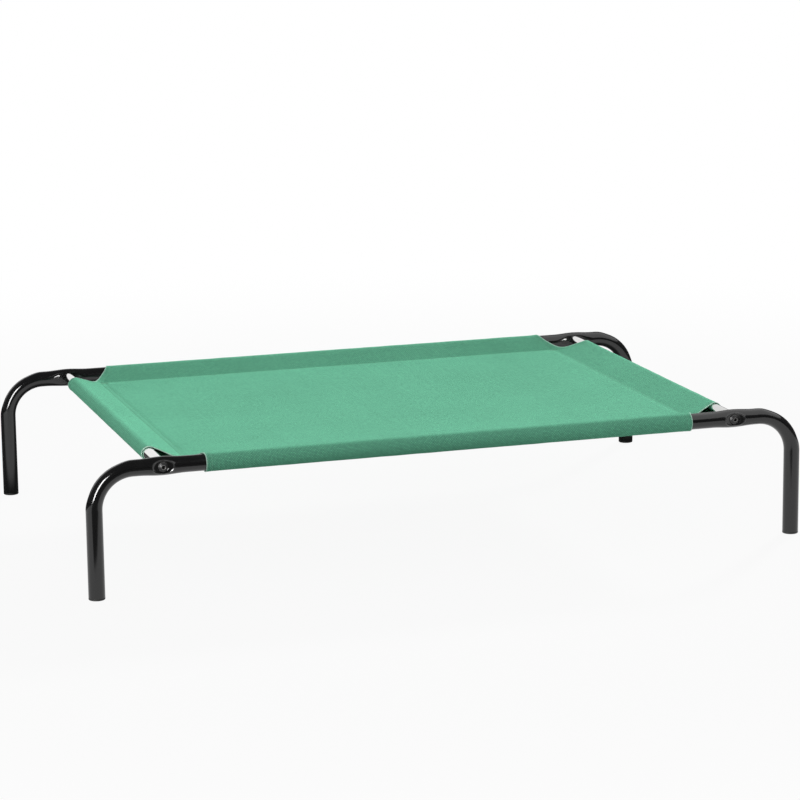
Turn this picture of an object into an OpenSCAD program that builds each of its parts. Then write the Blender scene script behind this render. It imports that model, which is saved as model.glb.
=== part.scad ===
// Raised dog cot: a bolted tube frame that carries a sewn, stretched cover.
// Four bent leg tubes plug together in pairs into two long rails. Two plated end bars are bolted
// between the rails, in pressed seats. The cover has a sleeve along each side for rail or bar.
// Millimetres, +X along the length, +Y to the rear, +Z up, origin on the floor under the middle.

/* [Overall] */
// Length over the legs
cot_len = 1100; // [1000:10:1300]
// Width over the rails
cot_wid = 684; // [560:2:800]
// Height of the top of the rails
cot_h = 198; // [150:1:260]

/* [Leg tubes] */
// Outside diameter of the leg tube
tube_d = 24; // [22:0.5:27]
// Wall of the leg tube
tube_wall = 1.2; // [0.9:0.1:1.6]
// Radius of the bend at the tube's centre line
bend_r = 57; // [45:1:62]
// Length of the spigot that joins two rail halves
spigot_len = 60; // [40:1:90]
// Length over which the tube necks down inside to the spigot
neck_len = 8; // [4:1:14]
// Gap around the spigot in the other half
spigot_gap = 0.15; // [0.1:0.05:0.3]

/* [Bolt seats] */
// Distance along the rail from the leg's axis to the bolt's axis
bolt_inset = 99; // [94:1:130]
// Length of rail that the press deforms
seat_len = 70; // [60:1:72]
// How far the pressed tube grows above and below its round shape
seat_rise = 2.5; // [1.5:0.1:3.5]
// How much tighter the pressed tube's upper and lower edges are rounded than the tube
edge_in = 2; // [1.5:0.1:2.5]
// Depth of the flat seats below the tube's round side
seat_depth = 4; // [3:0.1:4.5]
// Length of the eye-shaped dimple around the bolt head
eye_len = 34; // [28:1:40]
// Depth of the flat spot under the bolt head below the dimple
spot_depth = 0.3; // [0.2:0.1:0.5]
// Gap around the bolt head in its flat spot
spot_gap = 0.5; // [0.3:0.1:1]
// Gap around the end bar in its seat
bar_gap = 0.25; // [0.1:0.05:0.5]

/* [End bars] */
// Outside diameter of the end bar
bar_d = 19; // [16:0.5:20]
// Wall of the end bar
bar_wall = 1.2; // [0.9:0.1:1.6]
// Length of the threaded nut in each end
nut_len = 24; // [20:1:36]
// Gap around the nut in the bar
nut_gap = 0.1; // [0.05:0.05:0.2]

/* [Bolts] */
// Thread diameter
bolt_d = 8; // [6:0.5:9]
// Diameter of the button head
head_d = 14; // [11:0.5:16]
// Height of the button head
head_h = 4.4; // [3:0.1:5]
// Height of the head's upright rim
head_rim = 1.1; // [0.6:0.1:1.6]
// Hexagon socket, across flats
socket_af = 5; // [3:0.5:6]
// Depth of the socket
socket_depth = 2.6; // [1.5:0.1:3]
// Length of thread inside the nut
bolt_reach = 16; // [12:1:18]
// Gap around the bolt in the tube's holes
hole_gap = 0.25; // [0.1:0.05:0.5]
// Gap between the bolt and the nut's thread
thread_gap = 0.1; // [0.05:0.05:0.2]
// Chamfer at the bolt's tip
tip_chamfer = 1; // [0.5:0.1:1.5]

/* [Feet] */
// Thickness of the foot under the tube
foot_h = 3; // [2:0.5:6]
// Rounding of the foot's lower edge
foot_round = 1.2; // [0.6:0.1:1.8]
// Length of the plug inside the leg
plug_len = 20; // [12:1:35]
// Wall of the hollow plug
plug_wall = 2; // [1.5:0.1:3]
// Gap around the plug in the leg
plug_gap = 0.15; // [0.1:0.05:0.3]

/* [Cover] */
// Thickness of the cover
cloth_t = 1.2; // [0.8:0.1:1.6]
// Gap between the cover and the tubes
cloth_gap = 0.3; // [0.2:0.1:0.6]
// Distance from a rail's axis to the seam of its sleeve
rail_seam = 38; // [34:1:60]
// Distance from an end bar's axis to the seam of its sleeve
bar_seam = 46; // [34:1:60]
// Drop of the deck below the tubes' axes
seam_drop = 6; // [0:0.5:9]
// Width of the folded hem under the deck
hem_w = 11; // [8:1:16]
// How far the corner notches reach past the end seams
notch_long = 18; // [12:1:30]
// How far the corner notches reach past the side seams
notch_wide = 26; // [12:1:34]
// Rounding of a notch's inner corner
notch_r = 16; // [6:1:24]

/* [Hidden] */
$fn = 96;

// Each corner: its name, its side along X, its side along Y, and whether its rail half has the spigot
CORNERS = [
    ["front_left", -1, -1, true],
    ["front_right", 1, -1, false],
    ["rear_left", -1, 1, false],
    ["rear_right", 1, 1, true]];
// Each end: its name and its side along X
ENDS = [["left", -1], ["right", 1]];

frame_black = [0.09, 0.09, 0.09];
plated = [0.80, 0.81, 0.81];
bolt_black = [0.16, 0.16, 0.16];
plug_black = [0.05, 0.05, 0.05];
cloth_green = [0.36, 0.65, 0.53];

// Overshoot of a cut past the face that it opens
cut = 1;

// Radius of an arc from its chord and its rise
function arc_radius(chord, rise) = (pow(chord / 2, 2) + pow(rise, 2)) / (2 * rise);

// Places of the frame
tube_r = tube_d / 2;
bore_r = tube_r - tube_wall;
rail_y = cot_wid / 2 - tube_r;
rail_z = cot_h - tube_r;
leg_x = cot_len / 2 - tube_r;
bend_x = leg_x - bend_r;
bend_z = rail_z - bend_r;
bolt_x = leg_x - bolt_inset;
spigot_r = bore_r - spigot_gap;

// Pressed seat: the floors' distance from the tube's axis, and its arched edges
seat_floor = tube_r - seat_depth;
edge_r = tube_r - edge_in;
edge_arc = arc_radius(seat_len, seat_rise) - edge_r;
edge_turn = asin((seat_len / 2 + cut) / edge_arc);
// Dimple: its deepest line, and the arc that scoops it
scoop_floor = seat_floor + spot_depth;
scoop_r = arc_radius(eye_len, tube_r - scoop_floor);

// End bars and bolts
bar_r = bar_d / 2;
bar_bore_r = bar_r - bar_wall;
bar_half = rail_y - seat_floor;
dome_h = head_h - head_rim;
dome_r = arc_radius(head_d, dome_h);
shank_len = 2 * seat_floor + bolt_reach;

// Cover: the deck's level, its half sizes at the seams, and where the sleeves end
deck_z = rail_z - seam_drop;
deck_hx = bolt_x - bar_seam;
deck_hy = rail_y - rail_seam;
sleeve_hx = deck_hx - notch_long;
sleeve_hy = deck_hy - notch_wide;
corner_r = min(notch_r, notch_long, notch_wide);

// Places children, made for the front right corner with +Y inwards, at any corner of the frame
module at_corner(c) {
    mirror(c[1] < 0 ? [1, 0, 0] : [0, 0, 0])
        mirror(c[2] > 0 ? [0, 1, 0] : [0, 0, 0])
            translate([0, -rail_y, 0])
                children();
}

// A solid of revolution along +X on the rail's axis, from a profile of radius and distance
module along_rail() {
    translate([0, 0, rail_z])
        rotate([0, 90, 0])
            rotate_extrude()
                children();
}

// A solid of revolution along +Y through the bolt's axis, from a profile of radius and distance
module along_bolt() {
    translate([bolt_x, 0, rail_z])
        rotate([-90, 0, 0])
            rotate_extrude()
                children();
}

// Arched upper and lower edges of the pressed seat, set in by a wall
module seat_edges(inset) {
    for (side = [0, 1])
        translate([bolt_x, 0, rail_z])
            mirror([0, 0, side])
                translate([0, 0, tube_r + seat_rise - edge_r - edge_arc])
                    rotate([90, edge_turn - 90, 0])
                        rotate_extrude(angle = 2 * edge_turn)
                            translate([edge_arc, 0])
                                circle(edge_r - inset);
}

// Outline of leg, bend and rail, set in by a wall
module leg_rail_body(inset, low) {
    r = tube_r - inset;
    translate([leg_x, 0, low])
        cylinder(r = r, h = bend_z - low);
    translate([bend_x, 0, bend_z])
        rotate([90, 0, 0])
            rotate_extrude(angle = 90)
                translate([bend_r, 0])
                    circle(r);
    along_rail()
        square([r, bend_x]);
    seat_edges(inset);
}

// Space inside the tube, narrowed between the pressed seats
module leg_rail_bore(has_spigot) {
    difference() {
        leg_rail_body(tube_wall, foot_h - cut);
        for (side = [-1, 1])
            translate([bolt_x, side * (seat_floor - tube_wall + tube_r), rail_z])
                cube([eye_len, 2 * tube_r, 4 * tube_r], center = true);
        if (has_spigot)
            along_rail()
                difference() {
                    translate([0, -cut])
                        square([bore_r + tube_wall / 2, neck_len + cut]);
                    spigot_bore_profile();
                }
    }
    if (has_spigot)
        along_rail()
            spigot_bore_profile();
    else
        along_rail()
            translate([0, -cut])
                square([bore_r, 2 * cut]);
}

// Profile of the bore through the spigot, which opens out to the tube's bore
module spigot_bore_profile() {
    r = spigot_r - tube_wall;
    polygon([[0, -spigot_len - cut], [r, -spigot_len - cut], [r, 0], [bore_r, neck_len], [0, neck_len]]);
}

// Dimple, flat spot, bolt hole and bar seat that the press and drill leave in the rail
module bolt_seat() {
    translate([bolt_x, -scoop_floor - scoop_r, rail_z])
        cylinder(r = scoop_r, h = 4 * tube_r, center = true);
    along_bolt()
        translate([0, -2 * tube_r])
            square([head_d / 2 + spot_gap, 2 * tube_r - seat_floor]);
    along_bolt()
        translate([0, -2 * tube_r])
            square([bolt_d / 2 + hole_gap, 4 * tube_r]);
    along_bolt()
        translate([0, seat_floor])
            square([bar_r + bar_gap, tube_r]);
}

module leg_rail(c) {
    color(frame_black)
        at_corner(c)
            difference() {
                union() {
                    leg_rail_body(0, foot_h);
                    if (c[3])
                        along_rail()
                            translate([0, -spigot_len])
                                square([spigot_r, spigot_len + cut]);
                }
                leg_rail_bore(c[3]);
                bolt_seat();
            }
}

module end_bar(e) {
    color(plated)
        translate([e[1] * bolt_x, 0, rail_z])
            rotate([90, 0, 0])
                difference() {
                    cylinder(r = bar_r, h = 2 * bar_half, center = true);
                    cylinder(r = bar_bore_r, h = 2 * bar_half + 2 * cut, center = true);
                }
}

module bar_nut(c) {
    color(plated)
        at_corner(c)
            along_bolt()
                translate([bolt_d / 2 + thread_gap, seat_floor])
                    square([bar_bore_r - nut_gap - bolt_d / 2 - thread_gap, nut_len]);
}

module bolt(c) {
    color(bolt_black)
        at_corner(c)
            translate([bolt_x, -seat_floor, rail_z])
                rotate([90, 0, 0])
                    difference() {
                        union() {
                            intersection() {
                                cylinder(d = head_d, h = head_h);
                                translate([0, 0, head_h - dome_r])
                                    sphere(dome_r);
                            }
                            rotate_extrude()
                                polygon([[0, cut], [bolt_d / 2, cut],
                                    [bolt_d / 2, tip_chamfer - shank_len],
                                    [bolt_d / 2 - tip_chamfer, -shank_len], [0, -shank_len]]);
                        }
                        translate([0, 0, head_h - socket_depth])
                            cylinder(d = socket_af / cos(30), h = socket_depth + cut, $fn = 6);
                    }
}

module foot_plug(c) {
    plug_r = bore_r - plug_gap;
    color(plug_black)
        at_corner(c)
            translate([leg_x, 0, 0])
                rotate_extrude() {
                    difference() {
                        square([tube_r, foot_h]);
                        translate([tube_r - foot_round, 0])
                            difference() {
                                square(foot_round);
                                translate([0, foot_round])
                                    circle(foot_round);
                            }
                    }
                    translate([plug_r - plug_wall, foot_h - cut])
                        square([plug_wall, plug_len + cut]);
                }
}

// Drop-shaped outline of a sleeve around a tube at the origin, with its tip at the seam
module drop(r, seam) {
    lean = atan2(-seam_drop, seam);
    spread = acos(r / norm([seam, seam_drop]));
    circle(r);
    polygon([
        [0, 0],
        r * [cos(lean - spread), sin(lean - spread)],
        [seam, -seam_drop],
        r * [cos(lean + spread), sin(lean + spread)]]);
}

// Sleeve in section: an even wall around the tube, and the hem that is sewn under the deck
module sleeve_profile(r, seam) {
    inner_r = r + cloth_gap;
    outer_r = inner_r + cloth_t;
    difference() {
        union() {
            drop(outer_r, seam);
            translate([seam - hem_w / 2, -seam_drop - 1.5 * cloth_t])
                square([hem_w, 2 * cloth_t]);
        }
        scale(inner_r / outer_r)
            drop(outer_r, seam);
    }
}

// Section of the cover across two opposite sleeves: half the distance between their tubes, the tubes'
// radius, and the distance from a tube's axis to its seam
module cover_profile(half, r, seam) {
    for (side = [0, 1])
        mirror([side, 0])
            translate([-half, rail_z])
                sleeve_profile(r, seam);
    translate([0, deck_z])
        square([2 * (half - seam), cloth_t], center = true);
}

module cover() {
    color(cloth_green) {
        rotate([90, 0, 90])
            linear_extrude(2 * sleeve_hx, center = true)
                cover_profile(rail_y, tube_r, rail_seam);
        rotate([90, 0, 0])
            linear_extrude(2 * sleeve_hy, center = true)
                cover_profile(bolt_x, bar_r, bar_seam);
        translate([0, 0, deck_z])
            linear_extrude(cloth_t, center = true)
                for (sx = [0, 1], sy = [0, 1])
                    mirror([sx, 0])
                        mirror([0, sy])
                            translate([sleeve_hx, sleeve_hy])
                                difference() {
                                    square(corner_r);
                                    translate([corner_r, corner_r])
                                        circle(corner_r);
                                }
    }
}

cover();
for (c = CORNERS) {
    leg_rail(c);
    bar_nut(c);
    bolt(c);
    foot_plug(c);
}
for (e = ENDS)
    end_bar(e);
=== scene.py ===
"""Raised dog cot: a bolted tube frame that carries a sewn, stretched cover.

Metres, +X along the length, +Y to the rear, +Z up, origin on the floor under the middle.
"""

import math

import bmesh
import bpy
from mathutils import Matrix, Vector, kdtree, noise


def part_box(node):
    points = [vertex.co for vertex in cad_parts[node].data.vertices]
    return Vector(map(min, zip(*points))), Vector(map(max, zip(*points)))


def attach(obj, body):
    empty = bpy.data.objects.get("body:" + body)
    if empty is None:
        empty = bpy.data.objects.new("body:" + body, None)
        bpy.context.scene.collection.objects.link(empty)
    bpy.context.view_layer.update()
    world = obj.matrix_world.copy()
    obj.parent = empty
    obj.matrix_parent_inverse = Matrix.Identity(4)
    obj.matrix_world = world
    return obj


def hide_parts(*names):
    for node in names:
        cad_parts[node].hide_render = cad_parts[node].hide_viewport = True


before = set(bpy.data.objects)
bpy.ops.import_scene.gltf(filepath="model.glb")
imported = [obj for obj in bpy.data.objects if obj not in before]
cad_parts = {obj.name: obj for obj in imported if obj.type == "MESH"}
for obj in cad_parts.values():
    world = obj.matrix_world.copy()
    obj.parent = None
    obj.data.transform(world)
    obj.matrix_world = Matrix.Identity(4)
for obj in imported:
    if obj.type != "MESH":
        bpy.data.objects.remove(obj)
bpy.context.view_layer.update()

bl_info = {
    "name": "Raised Dog Cot",
    "version": (1, 0, 0),
    "blender": (4, 5, 0),
    "location": "View3D > Sidebar > Dog Cot",
    "description": "Builds a raised dog cot with a tube frame and a stretched cover",
    "category": "Object",
}

MM = 0.001
BODY = "root"
CORNERS = {
    "front_left": (-1, -1),
    "front_right": (1, -1),
    "rear_left": (-1, 1),
    "rear_right": (1, 1),
}
SPIGOT_CORNERS = ("front_left", "rear_right")
ENDS = {"left": -1, "right": 1}
EDGE_HIGHLIGHT_LAYER = "thin_edge"
FLAT_MAP = "flat_cloth"
MERGE_GAP = 1e-6
WHITE = (1, 1, 1, 1)

# Sizes that the frame gives
BAR_LOW, BAR_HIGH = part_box("end_bar_left")
RAIL_LOW, RAIL_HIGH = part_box("leg_rail_front_left")
PLUG_LOW, PLUG_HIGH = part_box("foot_plug_front_left")
BOLT_LOW, BOLT_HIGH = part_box("bolt_front_left")


def number(name, default, description, **kind):
    """A number that a user may change."""
    return bpy.props.FloatProperty(name=name, description=description, default=default, **kind)


def length(name, default, description):
    """A length that a user may change, in metres."""
    return number(name, default, description, unit="LENGTH", subtype="DISTANCE", precision=4)


def angle(name, degrees, description):
    """An angle that a user may change, given in degrees."""
    return number(name, math.radians(degrees), description, subtype="ANGLE")


def triple(name, default, description, subtype):
    """A place or a direction that a user may change."""
    return bpy.props.FloatVectorProperty(
        name=name, description=description, default=default, size=3, subtype=subtype)


def colour(name, default, description):
    """A linear colour that a user may change."""
    return bpy.props.FloatVectorProperty(
        name=name, description=description, default=(*default, 1.0),
        subtype="COLOR", size=4, min=0.0, max=1.0)


class CotFrameSizes(bpy.types.PropertyGroup):
    """Sizes of the tubes, bars, bolts and feet."""

    rail_z: length("Rail height", (BAR_LOW.z + BAR_HIGH.z) / 2, "Height of the rails' axes")
    rail_y: length(
        "Rail offset", -(RAIL_LOW.y + RAIL_HIGH.y) / 2, "Distance of the rails from the middle")
    leg_x: length(
        "Leg offset", -(PLUG_LOW.x + PLUG_HIGH.x) / 2, "Distance of the legs from the middle")
    bolt_x: length(
        "Bar offset", -(BAR_LOW.x + BAR_HIGH.x) / 2, "Distance of the end bars from the middle")
    tube_d: length("Tube", RAIL_HIGH.y - RAIL_LOW.y, "Outside diameter of the leg tube")
    tube_wall: length("Tube wall", 1.2 * MM, "Wall of the leg tube")
    bend_r: length("Bend", 57 * MM, "Radius of the bend at the tube's centre line")
    bend_flat: length("Bend flattening", 1.9 * MM, "How far the outside of the bend is drawn in")
    seat_len: length("Seat", 70 * MM, "Length of rail that the press deforms")
    seat_rise: length("Seat rise", 1.7 * MM, "How far the pressed tube grows up and down")
    seat_floor: length("Seat floor", 8 * MM, "Distance of the pressed flats from the tube's axis")
    eye_len: length("Eye", 33 * MM, "Length of the eye-shaped dimple")
    eye_lip: length("Eye lip", 0.7 * MM, "Height of the raised lip around the dimple")
    spigot_len: length("Spigot", RAIL_HIGH.x, "Length of the spigot that joins two rail halves")
    foot_h: length("Foot", RAIL_LOW.z, "Thickness of the foot under the tube")
    plug_top: length("Plug", PLUG_HIGH.z, "Height of the top of the plug inside the leg")
    bar_d: length("End bar", BAR_HIGH.x - BAR_LOW.x, "Outside diameter of the end bar")
    bar_wall: length("End bar wall", 1.2 * MM, "Wall of the end bar")
    bar_half: length("End bar half length", BAR_HIGH.y, "Half the length of the end bar")
    head_d: length("Bolt head", BOLT_HIGH.x - BOLT_LOW.x, "Diameter of the bolt's head")
    head_h: length("Bolt head height", 4.4 * MM, "Height of the bolt's head")
    bolt_d: length("Bolt", 8 * MM, "Diameter of the bolt's shank")
    bolt_len: length("Bolt length", BOLT_HIGH.y - BOLT_LOW.y, "Length of the bolt over its head")
    socket_af: length("Socket", 5 * MM, "Hexagon socket, across flats")
    socket_depth: length("Socket depth", 2.6 * MM, "Depth of the hexagon socket")


class CotCoverSizes(bpy.types.PropertyGroup):
    """Sizes of the cover."""

    cloth_t: length("Cloth", 1.2 * MM, "Thickness of the cover")
    cloth_gap: length("Cloth gap", 0.3 * MM, "Gap between the cover and the tubes")
    rail_seam: length("Side seam", 38 * MM, "Distance from a rail's axis to its seam")
    bar_seam: length("End seam", 46 * MM, "Distance from an end bar's axis to its seam")
    seam_drop: length("Seam drop", 6 * MM, "Drop of the deck below the tubes' axes")
    hem_w: length("Hem", 11 * MM, "Width of the hem under the deck")
    side_mouth: length("Side sleeve", 373 * MM, "Half length of the side sleeves round the tubes")
    end_mouth: length("End sleeve", 266 * MM, "Half length of the end sleeves round the bars")
    slip_front: length("Front slip", -4 * MM, "How far the front sleeve has slipped to the right")
    slip_left: length("Left slip", 8.5 * MM, "How far the left end sleeve has slipped to the rear")
    trim_left: length("Left trim", 6.5 * MM, "How much shorter the left end sleeve is at each end")
    slip_right: length("Right slip", 1 * MM, "How far the right end sleeve has slipped to the rear")
    flare_from: length("Flare", 42 * MM, "Distance from a side seam to the start of its flare")
    flare: number("Flare slope", 0.66, "Slope of the flared part of a side sleeve's mouth")
    mouth_rise: length("Mouth rise", 12 * MM, "Length that an end sleeve gains at the notch")
    notch_r: length("Notch rounding", 38 * MM, "Rounding of a notch's inner corner")
    soft_crease: length("Soft crease", 14 * MM, "Half width of a crease where its seam has ended")
    # The pale sealed edge is partly its own colour and partly a painted highlight
    sealed_highlight_w: length("Sealed edge", 1.3 * MM, "Width of the pale sealed edge")
    sag: length("Sag", 5 * MM, "Sag of the deck in its middle")
    groove: length("Seam groove", 0.45 * MM, "Depth that the stitches pull into the cloth")
    groove_w: length("Groove width", 1.3 * MM, "Half the width of the groove along the stitches")
    pucker: length("Pucker", 0.7 * MM, "Height of the pulled folds at the deck's corners")
    cell: length("Cell", 6.5 * MM, "Size of the deck's faces")
    stitch_len: length("Stitch", 3.6 * MM, "Length of a stitch that shows")
    stitch_gap: length("Stitch gap", 1.4 * MM, "Gap between two stitches")
    thread_d: length("Thread", 0.75 * MM, "Thickness of the sewing thread")
    yarn_pitch: length("Yarn", 1.9 * MM, "Width of a yarn in the weave")


class CotColours(bpy.types.PropertyGroup):
    """Colours of the finishes."""

    cloth: colour("Cloth", (0.200, 0.655, 0.425), "Raised yarns of the cover")
    # The gap colour is painted shade, where the yarns dip between each other
    cloth_painted_gap_shade: colour("Cloth gaps", (0.060, 0.260, 0.155), "Gaps between the yarns")
    # The pale cut edge colour is partly the sealed edge's own and partly a painted highlight
    cloth_edge_highlight: colour("Cloth edge", (0.520, 0.800, 0.660), "Sealed cut edge of the cover")
    thread: colour("Thread", (0.270, 0.690, 0.480), "Sewing thread")
    powder: colour("Powder coat", (0.0085, 0.0085, 0.0088), "Black coat of the tubes")
    # The thin coat colour is a painted highlight on the pressed lips
    powder_painted_highlight: colour("Thin coat", (0.100, 0.100, 0.102), "Thin coat on the pressed lips")
    powder_worn: colour("Rubbed coat", (0.030, 0.030, 0.031), "Rubbed places of the black coat")
    plating: colour("Plating", (0.800, 0.800, 0.790), "Bright plating of the end bars")
    plating_dull: colour("Dull plating", (0.640, 0.645, 0.640), "Dull patches of the plating")
    steel: colour("Turned steel", (0.520, 0.515, 0.500), "Bare steel of the nuts")
    oxide: colour("Black oxide", (0.035, 0.035, 0.036), "Black finish of the bolts")
    # Rubbed oxide is wear in specks, and on the bolts' edges also a painted highlight
    oxide_rubbed_and_highlight: colour("Rubbed oxide", (0.300, 0.296, 0.288), "Rubbed edges of the bolts")
    # The near black inside the sockets is painted shade
    oxide_painted_socket_shade: colour("Dull oxide", (0.004, 0.004, 0.004), "Oiled oxide inside the bolts' sockets")
    plastic: colour("Plastic", (0.016, 0.016, 0.016), "Moulded plastic of the feet")
    plastic_scuff: colour("Scuffed plastic", (0.060, 0.060, 0.058), "Scuffed underside of the feet")
    floor: colour("Floor", (0.450, 0.450, 0.450), "Studio floor")


class CotStage(bpy.types.PropertyGroup):
    """Camera, light and floor."""

    camera_at: triple(
        "Camera", (-1.34333, -4.24638, 1.13731), "Place of the camera", "TRANSLATION")
    camera_yaw: angle("Yaw", 17.818, "Turn of the camera to the right of +Y")
    camera_pitch: angle("Pitch", 12.120, "Tilt of the camera below the horizon")
    camera_roll: angle("Roll", -0.612, "Roll of the camera")
    lens: number("Lens", 131.2, "Focal length for a 36 mm sensor", subtype="DISTANCE_CAMERA")
    key_level: number("Key light", 2.90, "Strength of the soft key light")
    key_from: triple("Key from", (1.50, 1.55, 1.0), "Where the key light comes from", "DIRECTION")
    key_angle: angle("Key size", 8, "Apparent size of the key light")
    back_level: number("Room", 0.51, "Light of the room behind and beside the cot")
    front_level: number("Dark side", 0.27, "Light of the room behind the camera")
    left_level: number("Left fill", 0.75, "Added light from the left")
    flag_level: number("Flags", 0.09, "Light of the dark flags that polished tubes reflect")
    floor_white: number("Floor white", 0.93, "Share of plain white in the floor as it is seen")


def settings(context):
    """The four groups of settings that the operators read."""
    return [getattr(context.scene, key) for key in GROUPS]


# Shader nodes

class NodeBuilder:
    """Adds nodes to one tree, and links or sets their inputs."""

    def __init__(self, tree):
        self.tree = tree

    def put(self, socket, value):
        if isinstance(value, bpy.types.NodeSocket):
            self.tree.links.new(value, socket)
        elif value is not None:
            socket.default_value = value

    def add(self, kind, inputs=None, **options):
        node = self.tree.nodes.new(kind)
        for key, value in options.items():
            setattr(node, key, value)
        for key, value in (inputs or {}).items():
            self.put(node.inputs[key], value)
        return node

    def math(self, operation, first, second=None, third=None):
        node = self.add("ShaderNodeMath", operation=operation)
        for socket, value in zip(node.inputs, (first, second, third)):
            self.put(socket, value)
        return node.outputs[0]

    def between(self, share, low, high):
        """A value that goes from low to high with a share from 0 to 1."""
        return self.math("MULTIPLY_ADD", share, high - low, low)

    def ramp(self, value, low, high, to_low=0.0, to_high=1.0):
        """A soft change from one value to another."""
        ends = {"Value": value, "From Min": low, "From Max": high,
                "To Min": to_low, "To Max": to_high}
        return self.add("ShaderNodeMapRange", ends, interpolation_type="SMOOTHSTEP").outputs[0]

    def blend(self, share, first, second):
        """A colour between two others."""
        node = self.add("ShaderNodeMix", data_type="RGBA")
        sockets = {socket.identifier: socket for socket in node.inputs}
        for key, value in (("Factor_Float", share), ("A_Color", first), ("B_Color", second)):
            self.put(sockets[key], value)
        return next(s for s in node.outputs if s.identifier == "Result_Color")

    def noise(self, vector, scale, detail, roughness):
        look = {"Vector": vector, "Scale": scale, "Detail": detail, "Roughness": roughness}
        return self.add("ShaderNodeTexNoise", look).outputs[0]

    def group(self, tree, **inputs):
        return self.add("ShaderNodeGroup", inputs, node_tree=tree).outputs

    def bump(self, height, strength, distance, below=None):
        look = {"Height": height, "Strength": strength, "Distance": distance, "Normal": below}
        return self.add("ShaderNodeBump", look).outputs[0]


def new_group(name, place, numbers, results):
    """A shader node group from a place and numbers to numbers, its builder and its two ends."""
    tree = bpy.data.node_groups.new(name, "ShaderNodeTree")
    sockets = [(place, "INPUT", "NodeSocketVector")]
    sockets += [(key, "INPUT", "NodeSocketFloat") for key in numbers]
    sockets += [(key, "OUTPUT", "NodeSocketFloat") for key in results]
    for key, side, kind in sockets:
        tree.interface.new_socket(name=key, in_out=side, socket_type=kind)
    build = NodeBuilder(tree)
    return tree, build, build.add("NodeGroupInput").outputs, build.add("NodeGroupOutput").inputs


# Weave: form of a yarn, seeds of the yarns' shades, parts of the shade, of which the weft's is
# painted light, and height of the gaps, which get painted shade
YARN_FULLNESS = 0.7
YARN_DIP = 0.4
YARN_SEEDS = (17.3, 531.7)
WEFT_LIGHT_PART, YARN_PART, FLECK_PART = 0.45, 0.15, 0.40
GAP_HEIGHTS = (0.66, 0.18)


def weave_group():
    """Plain weave from flat cloth coordinates: height, yarn shade with the weft painted lighter,
    and painted shade in the gaps between the yarns.
    """
    name = "Plain weave"
    if name in bpy.data.node_groups:
        return bpy.data.node_groups[name]
    tree, build, given, result = new_group(name, "Flat", ["Pitch"], ["Height", "Shade", "Gap"])
    flat = build.add("ShaderNodeSeparateXYZ", {"Vector": given["Flat"]}).outputs
    places = [build.math("DIVIDE", flat[k], given["Pitch"]) for k in (0, 1)]
    warp, weft = yarns = [build.math("FLOOR", place) for place in places]
    rounds = [build.math("SINE", build.math("MULTIPLY", build.math("FRACT", place), math.pi))
              for place in places]
    weft_over = build.math("FLOORED_MODULO", build.math("ADD", warp, weft), 2.0)

    def upper(pair):
        """What belongs to the yarn that lies on top."""
        inputs = {"Factor": weft_over, "A": pair[0], "B": pair[1]}
        return build.add("ShaderNodeMix", inputs).outputs[0]

    def random(dimensions, **place):
        node = build.add("ShaderNodeTexWhiteNoise", place, noise_dimensions=dimensions)
        return node.outputs[0]

    heights = []
    for own, other in (rounds, rounds[::-1]):
        crown = build.between(other, YARN_DIP, 1.0)
        heights.append(build.math("MULTIPLY", build.math("POWER", own, YARN_FULLNESS), crown))
    height = upper(heights)
    shades = [random("1D", W=build.math("ADD", yarn, seed))
              for yarn, seed in zip(yarns, YARN_SEEDS)]
    # Painted light: the weft yarns are lighter than the warp yarns, as the light falls on them; and
    # each crossing differs a little
    crossing = build.add("ShaderNodeCombineXYZ", {"X": warp, "Y": weft}).outputs[0]
    fleck = build.math("MULTIPLY", random("2D", Vector=crossing), FLECK_PART)
    shade = build.math("MULTIPLY_ADD", upper(shades), YARN_PART, fleck)
    build.put(result["Height"], height)
    build.put(result["Shade"], build.math("MULTIPLY_ADD", weft_over, WEFT_LIGHT_PART, shade))
    # Painted shade: the gaps fill in where the yarns dip low
    build.put(result["Gap"], build.ramp(height, *GAP_HEIGHTS))
    return tree


# Grain: detail and roughness of each noise, and where patches, specks and rubs start and end
GRAIN_NOISE, PATCH_NOISE, SPECK_NOISE = (2.0, 0.55), (4.0, 0.6), (5.0, 0.7)
SPECKS_IN_PATCH = 9.0
PATCH_EDGE, SPECK_EDGE, RUBBED_EDGE = (0.30, 0.72), (0.56, 0.74), (0.46, 0.66)


def grain_group():
    """Fine surface grain, slow patches and rubbed specks, from object coordinates."""
    name = "Surface grain"
    if name in bpy.data.node_groups:
        return bpy.data.node_groups[name]
    tree, build, given, result = new_group(
        name, "Place", ["Grain", "Patch"], ["Height", "Patches", "Rubbed"])
    place = given["Place"]
    patches = build.noise(place, given["Patch"], *PATCH_NOISE)
    speck_scale = build.math("MULTIPLY", given["Patch"], SPECKS_IN_PATCH)
    specks = build.ramp(build.noise(place, speck_scale, *SPECK_NOISE), *SPECK_EDGE)
    rubbed = build.math("MULTIPLY", specks, build.ramp(patches, *RUBBED_EDGE))
    build.put(result["Height"], build.noise(place, given["Grain"], *GRAIN_NOISE))
    build.put(result["Patches"], build.ramp(patches, *PATCH_EDGE))
    build.put(result["Rubbed"], rubbed)
    return tree


def new_material(name):
    """A material with one Principled shader, its builder and its object coordinates."""
    material = bpy.data.materials.new(name)
    material.use_nodes = True
    material.node_tree.nodes.clear()
    build = NodeBuilder(material.node_tree)
    shader = build.add("ShaderNodeBsdfPrincipled")
    output = build.add("ShaderNodeOutputMaterial", {"Surface": shader.outputs[0]})
    place = build.add("ShaderNodeTexCoord").outputs["Object"]
    return material, build, shader.inputs, place, output


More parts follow.
